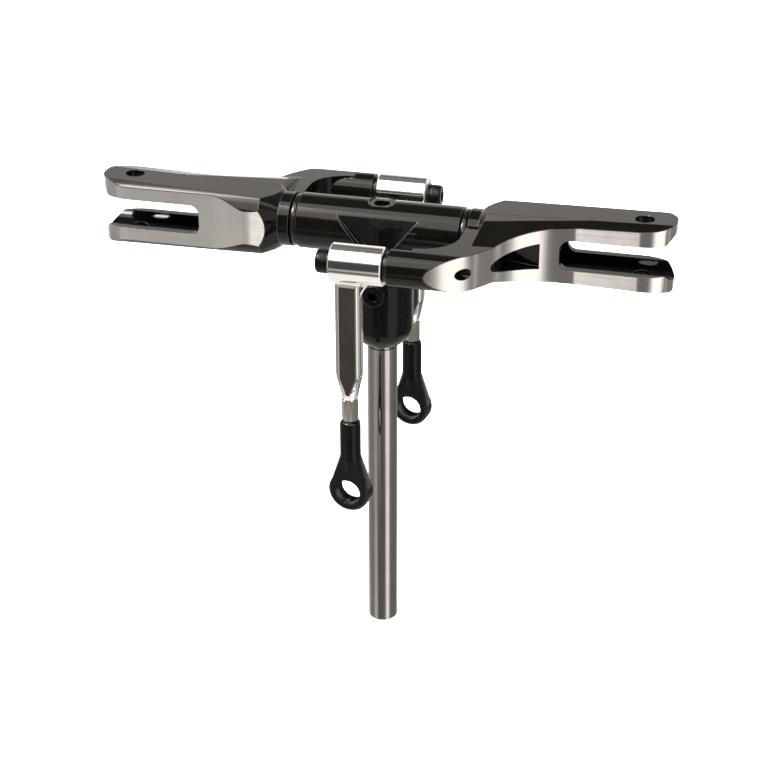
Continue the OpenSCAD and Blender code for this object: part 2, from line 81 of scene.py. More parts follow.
class Marks(Enum):
    """How tool or mould marks run, as cycles per metre along X, Y and Z."""

    MILLED_LEVEL = (70.0, 70.0, 3600.0)
    FACE_MILLED = (420.0, 2600.0, 420.0)
    TURNED_X = (5200.0, 60.0, 60.0)
    GROUND_Z = (60.0, 60.0, 5200.0)
    BRUSHED_Z = (3200.0, 3200.0, 110.0)
    BLASTED = (4200.0, 4200.0, 4200.0)
    MOULDED = (900.0, 900.0, 900.0)


class NodeTree:
    """A tree of shader nodes, with short calls that add and join nodes."""

    def __init__(self, tree: bpy.types.NodeTree) -> None:
        """Keeps the tree."""
        self.tree = tree

    def add(self, kind: str, **settings: object) -> bpy.types.Node:
        """Adds a node.

        Args:
            kind: Blender's type name of the node.
            **settings: properties of the node.

        Returns:
            The new node.
        """
        node = self.tree.nodes.new(kind)
        for key, value in settings.items():
            setattr(node, key, value)
        return node

    def join(self, output: bpy.types.NodeSocket, socket: bpy.types.NodeSocket) -> None:
        """Links an output to an input."""
        self.tree.links.new(output, socket)


class ShaderTree(NodeTree):
    """The node tree of one material, with noise on the object's own coordinates."""

    MIDDLE = (0.3, 0.7)

    def __init__(self, name: str) -> None:
        """Starts a material with its surface shader and object coordinates.

        Args:
            name: name of the material.
        """
        self.material = bpy.data.materials.new(name)
        self.material.use_nodes = True
        super().__init__(self.material.node_tree)
        self.surface = self.tree.nodes["Principled BSDF"]
        self.coords = self.add("ShaderNodeTexCoord").outputs["Object"]

    def noise(self, stretch: Sequence[float], detail: float, shift: float = 0.0) -> bpy.types.NodeSocket:
        """Noise on the object's own coordinates.

        Args:
            stretch: cycles per metre along X, Y and Z.
            detail: octaves of finer noise.
            shift: offset that makes this noise differ from the others.

        Returns:
            The noise's value from 0 to 1.
        """
        mapping = self.add("ShaderNodeMapping")
        mapping.inputs["Scale"].default_value = stretch
        mapping.inputs["Location"].default_value = (shift, shift, shift)
        self.join(self.coords, mapping.inputs["Vector"])
        noise = self.add("ShaderNodeTexNoise")
        noise.inputs["Scale"].default_value = 1.0
        noise.inputs["Detail"].default_value = detail
        self.join(mapping.outputs["Vector"], noise.inputs["Vector"])
        return noise.outputs["Fac"]

    def span(self, value: bpy.types.NodeSocket, low: float, high: float) -> bpy.types.NodeSocket:
        """Maps the middle of a noise's range to the span from low to high.

        Args:
            value: the noise.
            low: result where the noise is low.
            high: result where the noise is high.

        Returns:
            The mapped value.
        """
        node = self.add("ShaderNodeMapRange")
        for key, number in zip(("From Min", "From Max", "To Min", "To Max"), (*self.MIDDLE, low, high)):
            node.inputs[key].default_value = number
        self.join(value, node.inputs["Value"])
        return node.outputs["Result"]

    def blend(self, factor: bpy.types.NodeSocket, a: Colour, b: Colour) -> bpy.types.NodeSocket:
        """Mixes two colours.

        Args:
            factor: 0 for a and 1 for b.
            a: first colour.
            b: second colour.

        Returns:
            The mixed colour.
        """
        node = self.add("ShaderNodeMix", data_type="RGBA")
        self.join(factor, node.inputs["Factor"])
        sockets = [s for s in node.inputs if s.type == "RGBA"]
        sockets[0].default_value = (*a, 1.0)
        sockets[1].default_value = (*b, 1.0)
        return next(s for s in node.outputs if s.type == "RGBA")


@dataclass(frozen=True)
class Finish:
    """A surface finish: its colours, its shine and the marks that its making left."""

    name: str
    slot: str
    colour: Colour
    patch_colour: Colour
    metallic: float
    roughness: tuple[float, float]
    marks: Marks
    mark_depth: float
    ior: float = 1.5
    patch: float = 240.0
    patch_shift: float = 7.3
    detail: tuple[float, float] = (3.0, 4.0)
    mark_share: float = 0.5

    def build(self) -> bpy.types.Material:
        """Makes the material, or gives the one made before.

        Colour wanders between two tones in soft patches, roughness follows the patches and the tool marks,
        and the marks are a shallow bump.

        Returns:
            The material.
        """
        label = f"finish.{self.name}"
        if label in bpy.data.materials:
            return bpy.data.materials[label]
        tree = ShaderTree(label)
        shader = tree.surface.inputs
        shader["Metallic"].default_value = self.metallic
        shader["IOR"].default_value = self.ior
        marks = tree.noise(self.marks.value, self.detail[0])
        patches = tree.noise((self.patch,) * 3, self.detail[1], self.patch_shift)
        tone = tree.blend(tree.span(patches, 0.0, 1.0), self.colour, self.patch_colour)
        tree.join(tone, shader["Base Color"])
        both = tree.add("ShaderNodeMath", operation="MULTIPLY_ADD")
        both.inputs[1].default_value = self.mark_share
        tree.join(marks, both.inputs[0])
        rest = tree.add("ShaderNodeMath", operation="MULTIPLY")
        rest.inputs[1].default_value = 1 - self.mark_share
        tree.join(patches, rest.inputs[0])
        tree.join(rest.outputs[0], both.inputs[2])
        tree.join(tree.span(both.outputs[0], *self.roughness), shader["Roughness"])
        bump = tree.add("ShaderNodeBump")
        bump.inputs["Strength"].default_value = 1.0
        bump.inputs["Distance"].default_value = self.mark_depth * MM
        tree.join(marks, bump.inputs["Height"])
        tree.join(bump.outputs["Normal"], shader["Normal"])
        return tree.material


BLACK_ANODISED = Finish("black_anodised", "black_anodised", (0.0018, 0.0015, 0.0013),
                        (0.0028, 0.0024, 0.0021), 0.0, (0.04, 0.09), Marks.BLASTED, 0.0003, 1.3)
# Lighter near-black on the rounded edges of the anodised parts: partly rubbed edge wear, partly a painted
# highlight that stands in for the bright lines along the edges.
BLACK_EDGE_WEAR_AND_HIGHLIGHT = Finish("black_edge_wear_and_painted_highlight", "black_anodised", (0.012, 0.0112, 0.0108), (0.03, 0.028, 0.0265),
                    0.2, (0.12, 0.22), Marks.BLASTED, 0.0006)
MACHINED_WALL = Finish("bright_machined_wall", "black_anodised", (0.93, 0.92, 0.905), (0.89, 0.88, 0.865),
                       1.0, (0.12, 0.22), Marks.MILLED_LEVEL, 0.0012)
POLISHED_BARREL = Finish("polished_link", "polished_aluminium", (0.94, 0.935, 0.925), (0.9, 0.895, 0.885),
                         1.0, (0.05, 0.12), Marks.TURNED_X, 0.0005)
DARK_BLADE = Finish("dark_link_face", "polished_aluminium", (0.0085, 0.007, 0.006), (0.013, 0.011, 0.0095),
                    0.0, (0.14, 0.24), Marks.BRUSHED_Z, 0.0008)
GROUND_STEEL = Finish("ground_steel", "ground_steel", (0.6, 0.585, 0.57), (0.53, 0.515, 0.5),
                      1.0, (0.08, 0.13), Marks.GROUND_Z, 0.0006)
BLACK_OXIDE = Finish("black_oxide", "black_steel", (0.0016, 0.0014, 0.0013), (0.003, 0.0027, 0.0024),
                     0.0, (0.16, 0.28), Marks.BLASTED, 0.0008, 1.24)
DARK_STEEL = Finish("dark_steel", "dark_steel", (0.004, 0.0037, 0.0034), (0.007, 0.0064, 0.006),
                    0.0, (0.1, 0.2), Marks.TURNED_X, 0.0006, 1.35)
ZINC = Finish("dull_zinc", "zinc_steel", (0.6, 0.585, 0.555), (0.48, 0.465, 0.44),
              1.0, (0.24, 0.42), Marks.GROUND_Z, 0.0015)
BEARING_STEEL = Finish("bearing_steel", "bearing_steel", (0.72, 0.71, 0.7), (0.65, 0.64, 0.63),
                       1.0, (0.08, 0.16), Marks.TURNED_X, 0.0004)
SPINDLE_STEEL = Finish("spindle_steel", "ground_steel", (0.6, 0.585, 0.57), (0.53, 0.515, 0.5),
                       1.0, (0.13, 0.22), Marks.TURNED_X, 0.0008)
DAMPER_RUBBER = Finish("damper_rubber", "damper_rubber", (0.02, 0.02, 0.02), (0.032, 0.031, 0.03),
                       0.0, (0.55, 0.75), Marks.MOULDED, 0.006)
LINK_PLASTIC = Finish("moulded_link", "link_plastic", (0.0018, 0.0016, 0.0015), (0.003, 0.0027, 0.0025),
                      0.0, (0.1, 0.18), Marks.MOULDED, 0.0012, 1.3)


@dataclass(frozen=True)
class Axis:
    """A line that turned shapes stand on: its origin and its direction."""

    origin: Triple
    direction: Triple

    def carry(self, points: np.ndarray) -> np.ndarray:
        """Points drawn about Z, turned so that Z lies along the direction and moved to the origin."""
        turn = Vector((0, 0, 1)).rotation_difference(Vector(self.direction)).to_matrix()
        return points @ np.array(turn).T + self.origin


def round_angles(count: int) -> np.ndarray:
    """Equal angles round a turn, the last one short of the first."""
    return np.arange(count) * TURN / count


def hexagon(angles: np.ndarray, across: float) -> np.ndarray:
    """Radius of a hexagon at each angle: half the width across flats over the cosine from its flat."""
    return across / 2 / np.cos((angles % (TURN / 6)) - TURN / 12)


def station_grid(radii: np.ndarray, heights: np.ndarray, angles: np.ndarray) -> np.ndarray:
    """Surface about Z: a point lies its radius out at its angle, at its station's height.

    Args:
        radii: stations by angles, or stations by one.
        heights: one per station, or stations by angles.
        angles: the angles round.

    Returns:
        Points as stations by angles by three.
    """
    heights = np.broadcast_to(np.reshape(heights, (len(radii), -1)), (len(radii), len(angles)))
    return np.stack([radii * np.cos(angles), radii * np.sin(angles), heights], axis=2)


Row = tuple[np.ndarray, float]


def rows_grid(rows: Sequence[Row], angles: np.ndarray) -> np.ndarray:
    """Surface about Z from rows of radii round and a height."""
    return station_grid(np.array([r for r, _ in rows]), np.array([h for _, h in rows]), angles)


def thread_rows(radius: float, depth: float, pitch: float, heights: np.ndarray,
                angles: np.ndarray) -> list[Row]:
    """Thread about Z: its radius less half a depth times one plus the cosine of height over pitch plus angle.

    Args:
        radius: outer radius.
        depth: depth of the thread.
        pitch: rise of one turn.
        heights: where the stations lie.
        angles: the angles round.

    Returns:
        One row for each station.
    """
    return [(radius - depth * (0.5 + 0.5 * np.cos(TURN * h / pitch + angles)), h) for h in heights]


def ring_section(inner: float, outer: float, low: float, high: float, edge: float,
                 steps: int = 5) -> np.ndarray:
    """Rounded rectangle from an inner to an outer radius, with a quarter arc of radius edge at each corner.

    Args:
        inner: inner radius.
        outer: outer radius.
        low: lower face.
        high: upper face.
        edge: radius of the corners.
        steps: points of a corner.

    Returns:
        Radius and height of each station, round the section.
    """
    sweep = np.linspace(0, TURN / 4, steps)
    corners = [(outer - edge, low + edge, 3), (outer - edge, high - edge, 0),
               (inner + edge, high - edge, 1), (inner + edge, low + edge, 2)]
    return np.concatenate([np.stack([r + edge * np.cos(sweep + q * TURN / 4),
                                     h + edge * np.sin(sweep + q * TURN / 4)], axis=1)
                           for r, h, q in corners])


class Piece:
    """A mesh in the making: closed surfaces or a welded CAD solid, with its finishes and its CAD nodes."""

    WELD = 2e-7
    SHORT = 8e-7
    FLAT = 0.2

    def __init__(self, name: str) -> None:
        """Starts an empty piece of that name."""
        self.name = name
        self.mesh = bpy.data.meshes.new(name)

    def from_grids(self, grids: Sequence[np.ndarray], looped: bool = False, crease: float = 32.0) -> "Piece":
        """Joins each grid's neighbours to quads; equal points, as at a pole, become one.

        Args:
            grids: row-frame points as stations by points round by three.
            looped: whether the last station joins the first.
            crease: angle in degrees past which an edge is sharp.

        Returns:
            This piece.
        """
        points, faces, start = [], [], 0
        for grid in grids:
            rows, count = grid.shape[:2]
            here = np.arange(rows * count).reshape(rows, count)
            here = np.vstack([here, here[:1]]) if looped else here
            right = np.roll(here, -1, axis=1)
            quads = np.stack([here[:-1], right[:-1], right[1:], here[1:]], axis=2)
            faces.append(quads.reshape(-1, 4) + start)
            points.append(grid.reshape(-1, 3))
            start += rows * count
        self.mesh.from_pydata(np.concatenate(points).tolist(), [], np.concatenate(faces).tolist())
        edit = bmesh.new()
        edit.from_mesh(self.mesh)
        bmesh.ops.remove_doubles(edit, verts=edit.verts, dist=self.WELD)
        bmesh.ops.recalc_face_normals(edit, faces=edit.faces)
        self.crease(edit, crease)
        return self

    def from_node(self, node: str, crease: float = 20.0, split_z: float | None = None) -> "Piece":
        """Copies a CAD node, welds its triangles and joins those that lie in one plane.

        Args:
            node: name of the CAD node.
            crease: angle in degrees past which an edge is sharp.
            split_z: height above the hub centre in millimetres at which faces are split, if any.

        Returns:
            This piece.
        """
        source = frame["nodes"][node].data
        points = np.empty(len(source.vertices) * 3)
        source.vertices.foreach_get("co", points)
        source.calc_loop_triangles()
        corners = np.empty(len(source.loop_triangles) * 3, dtype=np.int32)
        source.loop_triangles.foreach_get("vertices", corners)
        keys = np.round(points.reshape(-1, 3) / self.WELD).astype(np.int64)
        _, first, back = np.unique(keys, axis=0, return_index=True, return_inverse=True)
        self.mesh.from_pydata(points.reshape(-1, 3)[first].tolist(), [],
                              back.reshape(-1)[corners].reshape(-1, 3).tolist())
        edit = bmesh.new()
        edit.from_mesh(self.mesh)
        bmesh.ops.remove_doubles(edit, verts=edit.verts, dist=self.SHORT)
        bmesh.ops.dissolve_degenerate(edit, edges=edit.edges, dist=self.SHORT)
        flat = math.radians(self.FLAT)
        bmesh.ops.dissolve_limit(edit, angle_limit=flat, verts=edit.verts, edges=edit.edges)
        if split_z is not None:
            parts = [*edit.verts, *edit.edges, *edit.faces]
            level = (0, 0, (HUB_Z + split_z) * MM)
            bmesh.ops.bisect_plane(edit, geom=parts, plane_co=level, plane_no=(0, 0, 1))
        self.crease(edit, crease)
        return self

    def crease(self, edit: bmesh.types.BMesh, angle: float) -> None:
        """Writes an edited mesh back, smooth but for its sharp edges.

        Args:
            edit: the edited mesh, which is freed.
            angle: angle in degrees past which an edge is sharp.
        """
        for face in edit.faces:
            face.smooth = True
        for edge in edit.edges:
            edge.smooth = len(edge.link_faces) == 2 and edge.calc_face_angle(0.0) < math.radians(angle)
        edit.to_mesh(self.mesh)
        edit.free()

    def face_array(self, field: str) -> np.ndarray:
        """One value of every face.

        Args:
            field: center or normal.

        Returns:
            A row of three for each face.
        """
        values = np.empty(len(self.mesh.polygons) * 3)
        self.mesh.polygons.foreach_get(field, values)
        return values.reshape(-1, 3)

    def dress(self, body: str, nodes: Sequence[str], finishes: Sequence[Finish],
              choice: np.ndarray | None = None) -> bpy.types.Object:
        """Makes the object, gives it its finishes and puts it on its body in place of CAD nodes.

        Args:
            body: the CAD body that it rides on.
            nodes: the CAD nodes that it stands for.
            finishes: its finishes; the first one names its material slot.
            choice: index of the finish of each face, where there are several.

        Returns:
            The finished object.
        """
        for finish in finishes:
            self.mesh.materials.append(finish.build())
        if choice is not None:
            self.mesh.polygons.foreach_set("material_index", choice.astype(np.int32))
        made = bpy.data.objects.new(self.name, self.mesh)
        bpy.context.scene.collection.objects.link(made)
        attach(made, body)
        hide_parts(*nodes)
        LOG.info("%s: %d faces on %s", self.name, len(self.mesh.polygons), body)
        return made


def ease_edges(made: bpy.types.Object, width: float, finish_index: int, steps: int = 2,
               angle: float = 24.0, clamp: bool = False) -> None:
    """Rounds the sharp edges and weights the normals so that flat faces stay flat.

    Args:
        made: the object.
        width: width of the rounding in millimetres.
        finish_index: index of the finish that the rounded edges show.
        steps: segments of the rounding.
        angle: angle in degrees past which an edge counts as sharp.
        clamp: whether short edges hold the rounding back.
    """
    bevel = made.modifiers.new("eased_edges", "BEVEL")
    bevel.width = width * MM
    bevel.segments = steps
    bevel.limit_method = "ANGLE"
    bevel.angle_limit = math.radians(angle)
    bevel.material = finish_index
    bevel.use_clamp_overlap = clamp
    weights = made.modifiers.new("flat_faces", "WEIGHTED_NORMAL")
    weights.keep_sharp = True


class StudioTree(NodeTree):
    """The node tree of the studio's light, with math on the direction that it comes from."""

    def __init__(self) -> None:
        """Gives the scene a new, empty world."""
        world = bpy.data.worlds.new("studio")
        bpy.context.scene.world = world
        world.use_nodes = True
        super().__init__(world.node_tree)
        self.tree.nodes.clear()

    def compute(self, operation: str, *values: object) -> bpy.types.NodeSocket:
        """Works out a sum on numbers or sockets.

        Args:
            operation: Blender's name of the operation.
            *values: what it works on.

        Returns:
            The result.
        """
        node = self.add("ShaderNodeMath", operation=operation)
        for socket, value in zip(node.inputs, values):
            if isinstance(value, bpy.types.NodeSocket):
                self.join(value, socket)
            else:
                socket.default_value = value
        return node.outputs[0]

    def window(self, value: bpy.types.NodeSocket, half: float, soft: float) -> bpy.types.NodeSocket:
        """1 within a half width, falling softly to 0 about its edge.

        Args:
            value: distance from the middle.
            half: the half width.
            soft: how far the fall reaches to each side of the edge.

        Returns:
            The window's value from 0 to 1.
        """
        node = self.add("ShaderNodeMapRange", interpolation_type="SMOOTHSTEP")
        limits = (("From Min", half + soft), ("From Max", half - soft), ("To Min", 0.0), ("To Max", 1.0))
        for key, number in limits:
            node.inputs[key].default_value = number
        self.join(value, node.inputs["Value"])
        return node.outputs["Result"]


@dataclass(frozen=True)
class Panel:
    """A soft-edged patch of the studio in degrees, azimuth from the front towards +X, with its brightness."""

    name: str
    azimuth: float
    elevation: float
    half_width: float
    half_height: float
    soft: float
    level: float

    def paint(self, tree: StudioTree, azimuth: bpy.types.NodeSocket, elevation: bpy.types.NodeSocket,
              under: object) -> bpy.types.NodeSocket:
        """Lays the panel over what is there.

        Args:
            tree: the studio's node tree.
            azimuth: azimuth of the direction.
            elevation: elevation of the direction.
            under: brightness so far, a number or a socket.

        Returns:
            The brightness with this panel.
        """
        turned = tree.compute("WRAP", tree.compute("SUBTRACT", azimuth, self.azimuth), 180.0, -180.0)
        aside = tree.window(tree.compute("ABSOLUTE", turned), self.half_width, self.soft)
        raised = tree.compute("SUBTRACT", elevation, self.elevation)
        above = tree.window(tree.compute("ABSOLUTE", raised), self.half_height, self.soft)
        gain = tree.compute("SUBTRACT", self.level, under)
        return tree.compute("MULTIPLY_ADD", tree.compute("MULTIPLY", aside, above), gain, under)


@dataclass(frozen=True)
class Studio:
    """White studio with soft boxes, a pale floor and the camera at the photo's angle."""

    camera_azimuth: float = 14.2
    camera_elevation: float = 26.9
    camera_place: Triple = (67.57, -261.94, 107.855)
    focal_pixels: float = 1809.0
    long_side: float = 781.0
    sensor: float = 36.0
    clip: tuple[float, float] = (0.01, 20.0)
    base: float = 0.45
    warmth: Colour = (1.04, 0.985, 0.925)
    floor_half: float = 3000.0
    floor_drop: float = 0.02
    floor_steps: int = 9
    floor_glow: float = 0.8
    floor_tones: tuple[float, float] = (0.8, 0.82)
    floor_patch: float = 6.0
    floor_roughness: float = 0.9
    panels: tuple[Panel, ...] = (
        Panel("pale ground", 0, -66, 181, 30, 8, 0.95),
        Panel("back wall", 180, 4, 62, 24, 10, 1.2),
        Panel("dim back corner", -150, 52, 45, 14, 6, 0.12),
        Panel("low left side", -82, -27, 26, 11, 6, 0.28),
        Panel("strip for the bent root", -9, -22, 4.5, 9, 1.5, 1.35),
        Panel("dark front", 12, -26, 17, 10, 4, 0.14),
        Panel("dim right side", 115, -27, 36, 11, 4, 0.17),
        Panel("strip for the right wall", 91.5, -25, 3, 14, 2, 0.45),
        Panel("soft box at the right", 53, -12, 18, 38, 3, 1.15),
        Panel("low front", -4, -34, 24, 8, 6, 0.13),
        Panel("low right of front", 33, -35, 5, 8, 5, 0.16),
        Panel("low beside the soft box", 74, -35, 6, 8, 5, 0.22),
        Panel("low right and back", 128, -35, 44, 8, 6, 0.19),
        Panel("low left", -79, -35, 12, 8, 8, 0.25),
        Panel("black front wall", -8, 5, 40, 22, 5, 0.06),
        Panel("overhead soft box", -20, 62, 100, 29, 3, 4.5),
        Panel("lamp on the left grip's edge", -52, 54, 10, 10, 6, 60.0),
        Panel("lamp on the housing", -35, 58, 3, 6, 9, 14.0),
        Panel("dim back of the ceiling", 180, 70, 78, 18, 4, 0.2),
    )

    def build(self) -> None:
        """Builds the world, the floor and the camera."""
        self.build_world()
        self.build_floor()
        self.build_camera()

    def build_world(self) -> None:
        """Paints the panels over one another by direction; the camera itself sees plain white."""
        bpy.context.scene.view_settings.view_transform = "Standard"
        tree = StudioTree()
        parts = tree.add("ShaderNodeSeparateXYZ")
        tree.join(tree.add("ShaderNodeTexCoord").outputs["Generated"], parts.inputs[0])
        x, y, z = parts.outputs
        azimuth = tree.compute("DEGREES", tree.compute("ARCTAN2", x, tree.compute("MULTIPLY", y, -1.0)))
        elevation = tree.compute("DEGREES", tree.compute("ARCSINE", z))
        level = self.base
        for panel in self.panels:
            level = panel.paint(tree, azimuth, elevation, level)
        light = tree.add("ShaderNodeBackground")
        light.inputs["Color"].default_value = (*self.warmth, 1.0)
        tree.join(level, light.inputs["Strength"])
        white = tree.add("ShaderNodeBackground")
        white.inputs["Color"].default_value = (1.0, 1.0, 1.0, 1.0)
        seen = tree.add("ShaderNodeMixShader")
        tree.join(tree.add("ShaderNodeLightPath").outputs["Is Camera Ray"], seen.inputs[0])
        tree.join(light.outputs[0], seen.inputs[1])
        tree.join(white.outputs[0], seen.inputs[2])
        tree.join(seen.outputs[0], tree.add("ShaderNodeOutputWorld").inputs[0])

    def build_floor(self) -> None:
        """A wide pale floor under the shaft. Mirror surfaces see the studio in its place."""
        steps = np.linspace(-self.floor_half, self.floor_half, self.floor_steps) * MM
        across, along = np.meshgrid(steps, steps, indexing="ij")
        points = np.stack([across, along, np.full_like(across, -self.floor_drop * MM)], axis=2)
        here = np.arange(points[..., 0].size).reshape(across.shape)
        faces = np.stack([here[:-1, :-1], here[1:, :-1], here[1:, 1:], here[:-1, 1:]], axis=2).reshape(-1, 4)
        mesh = bpy.data.meshes.new("pale_floor")
        mesh.from_pydata(points.reshape(-1, 3).tolist(), [], faces.tolist())
        tree = ShaderTree("pale_floor")
        shader = tree.surface.inputs
        shade = tree.span(tree.noise((self.floor_patch,) * 3, 2.0), 0.0, 1.0)
        tones = ((tone,) * 3 for tone in self.floor_tones)
        tree.join(tree.blend(shade, *tones), shader["Base Color"])
        shader["Roughness"].default_value = self.floor_roughness
        shader["Specular IOR Level"].default_value = 0.0
        shader["Emission Color"].default_value = (1.0, 1.0, 1.0, 1.0)
        shader["Emission Strength"].default_value = self.floor_glow
        mesh.materials.append(tree.material)
        floor = bpy.data.objects.new("pale_floor", mesh)
        bpy.context.scene.collection.objects.link(floor)
        floor.visible_glossy = False
        floor.visible_shadow = False

    def build_camera(self) -> None:
        """The camera at the photo's angle: placed from the hub centre, level, with its focal length."""
        data = bpy.data.cameras.new("photo_camera")
        data.sensor_width = self.sensor
        data.lens = self.focal_pixels / self.long_side * self.sensor
        data.clip_start, data.clip_end = self.clip
        a, e = math.radians(self.camera_azimuth), math.radians(self.camera_elevation)
        back = Vector((math.sin(a) * math.cos(e), -math.cos(a) * math.cos(e), math.sin(e)))
        right = Vector((math.cos(a), math.sin(a), 0.0))
        turn = Matrix((right, back.cross(right), back)).transposed()
        camera = bpy.data.objects.new("photo_camera", data)
        place = Vector(self.camera_place) + Vector((0, 0, HUB_Z))
        camera.matrix_world = Matrix.Translation(place * MM) @ turn.to_4x4()
        bpy.context.scene.collection.objects.link(camera)
        bpy.context.scene.camera = camera


@dataclass(frozen=True)
class CapScrew:
    """Socket head cap screw: knurled head with an eased rim, hexagon socket and a thread near the end."""

    shank_r: float
    length: float
    head_r: float
    head_h: float
    socket_af: float
    socket_depth: float
    rim: float = 0.42
    rim_steps: int = 6
    mouth_ease: float = 0.06
    mouth_depth: float = 0.08
    floor_ease: float = 0.05
    knurls: int = 36
    knurl_depth: float = 0.035
    knurl_low: float = 0.16
    under_ease: float = 0.1
    end_ease: float = 0.15
    end_taper: float = 0.25
    pitch: float = 0.4
    thread_depth: float = 0.11
    thread_turns: int = 8
    turn_steps: int = 6
    around: int = 180

    def grid(self) -> np.ndarray:
        """The screw about Z, head above zero.

        Stations run from the middle of the socket's floor up its hexagon wall, over the rounded rim, down the
        knurled side, which is the head's radius less a cosine of the angle, and along the threaded shank.

        Returns:
            Points as stations by angles by three.
        """
        angles = round_angles(self.around)
        top, floor = self.head_h, self.head_h - self.socket_depth
        socket = hexagon(angles, self.socket_af)
        mouth = self.socket_af / math.sqrt(3) + self.mouth_ease
        sweep = np.linspace(TURN / 4, 0, self.rim_steps)
        rim = np.stack([self.head_r - self.rim + self.rim * np.cos(sweep),
                        top - self.rim + self.rim * np.sin(sweep)], axis=1)
        notch = self.knurl_depth * (0.5 - 0.5 * np.cos(self.knurls * angles))
        knurl_h = np.linspace(top - self.rim, self.knurl_low, 4)
        even = np.ones_like(angles)
        rows = [(0 * even, floor), (0.98 * socket, floor), (socket, floor + self.floor_ease),
                (socket, top - self.mouth_depth), (np.maximum(socket, mouth), top)]
        rows += [(r * even, h) for r, h in rim[:-1]]
        rows += [(self.head_r - notch * depth, h) for depth, h in zip((0.0, 1.0, 1.0, 1.0), knurl_h)]
        ease, start = self.under_ease, self.pitch * self.thread_turns - self.length
        rows += [(self.head_r - ease * even, 0.0), ((self.shank_r + ease) * even, 0.0),
                 (self.shank_r * even, -ease), (self.shank_r * even, start)]
        heights = np.linspace(start, self.end_ease - self.length, self.thread_turns * self.turn_steps + 1)
        rows += thread_rows(self.shank_r, self.thread_depth, self.pitch, heights, angles)
        rows += [((self.shank_r - self.end_taper) * even, -self.length), (0 * even, -self.length)]
        return rows_grid(rows, angles)


@dataclass(frozen=True)
class FixedHub:
    """Main shaft, cross housing, through bolt with its lock nut, and the rubber dampers."""

    shaft_r: float = 2.5
    seat_r: float = 2.3
    shaft_chamfer: float = 0.3
    shaft_around: int = 128
    centre_r: float = 0.75
    centre_bend: tuple[float, float] = (0.45, 0.3)
    seat_ease: float = 0.1
    shoulder: float = -20.7
    shaft_top: float = -5.4
    bolt_drop: float = 9.5
    bolt_seat: float = 4.6
    bolt: CapScrew = CapScrew(1.0, 11.8, 1.9, 1.95, 1.5, 1.0)
    nut_af: float = 4.0
    nut_h: float = 2.3
    nut_bore: float = 1.02
    nut_body: float = 0.72
    nut_collar_r: float = 1.55
    nut_cone: float = 0.2
    nut_slope: float = 60.0
    nut_steps: int = 6
    nut_ease: float = 0.1
    nut_around: int = 120
    edge: float = 0.1

    def shaft(self) -> None:
        """Turns the shaft from a profile of radius and height, centre-drilled and chamfered at its foot."""
        chamfer, top = self.shaft_chamfer, HUB_Z + self.shaft_top
        step = HUB_Z + self.shoulder
        outer, seat, centre = self.shaft_r, self.seat_r, self.centre_r
        profile = np.array([(0, centre), self.centre_bend, (centre, 0), (outer - chamfer, 0), (outer, chamfer),
                            (outer, step / 3), (outer, 2 * step / 3), (outer, step - self.seat_ease),
                            (seat, step), (seat, top - chamfer), (seat - chamfer, top), (0, top)])
        grid = station_grid(profile[:, :1], profile[:, 1], round_angles(self.shaft_around)) * MM
        Piece("ground_main_shaft").from_grids([grid]).dress("hub", ["main_shaft"], [GROUND_STEEL])

    def housing(self) -> None:
        """Eases the housing's edges and gives it its gloss black finish."""
        made = Piece("anodised_rotor_housing").from_node("rotor_housing").dress(
            "hub", ["rotor_housing"], [BLACK_ANODISED, BLACK_EDGE_WEAR_AND_HIGHLIGHT])
        ease_edges(made, self.edge, 1)

    def fastener(self) -> None:
        """Puts the through bolt and its nut in the stem."""
        line = Axis((0, -self.bolt_seat, -self.bolt_drop), (0, -1, 0))
        grid = Side.RIGHT.place(line.carry(self.bolt.grid()))
        Piece("through_bolt_screw").from_grids([grid]).dress("hub", ["through_bolt"], [BLACK_OXIDE])
        line = Axis((0, self.bolt_seat, -self.bolt_drop), (0, 1, 0))
        grid = Side.RIGHT.place(line.carry(self.nut_grid()))
        Piece("through_bolt_lock_nut").from_grids([grid], looped=True).dress(
            "hub", ["through_bolt_nut"], [ZINC])

    def nut_grid(self) -> np.ndarray:
        """The lock nut about Z: a hexagon's radius, cut by a cone at both ends, with a round collar.

        Returns:
            Points as stations by angles by three, round the section.
        """
        angles = round_angles(self.nut_around)
        flats = hexagon(angles, self.nut_af)
        collar, bore, ease, top = self.nut_collar_r, self.nut_bore, self.nut_ease, self.nut_h
        body, cut = top * self.nut_body, self.nut_cone
        slope = math.tan(math.radians(self.nut_slope))
        low = np.linspace(0, cut, self.nut_steps)
        heights = np.concatenate([low, low + body - cut])
        cone = self.nut_af / 2 + slope * np.minimum(heights, body - heights)
        outer = np.minimum(flats[None, :], cone[:, None])
        even = np.ones_like(angles)
        rows = [((bore + 1.2 * ease) * even, 0.0), *zip(outer, heights)]
        rows += [((collar + ease / 2) * even, body), (collar * even, body + ease),
                 (collar * even, top - 2 * ease), ((collar - 2 * ease) * even, top),
                 ((bore + ease / 2) * even, top),
                 (bore * even, top - ease), (bore * even, 1.2 * ease)]
        return rows_grid(rows, angles)

    def build(self) -> None:
        """Builds and dresses the hub's pieces."""
        self.shaft()
        self.housing()
        self.fastener()
        for side in Side:
            finish_node(side.node("damper"), DAMPER_RUBBER)


def finish_node(node: str, finish: Finish) -> None:
    """Gives a CAD node that stays as it is its finish.

    Args:
        node: name of the CAD node.
        finish: its finish.
    """
    made = frame["nodes"][node]
    made.data.materials.clear()
    made.data.materials.append(finish.build())
    LOG.info("%s: CAD node in %s", node, finish.name)


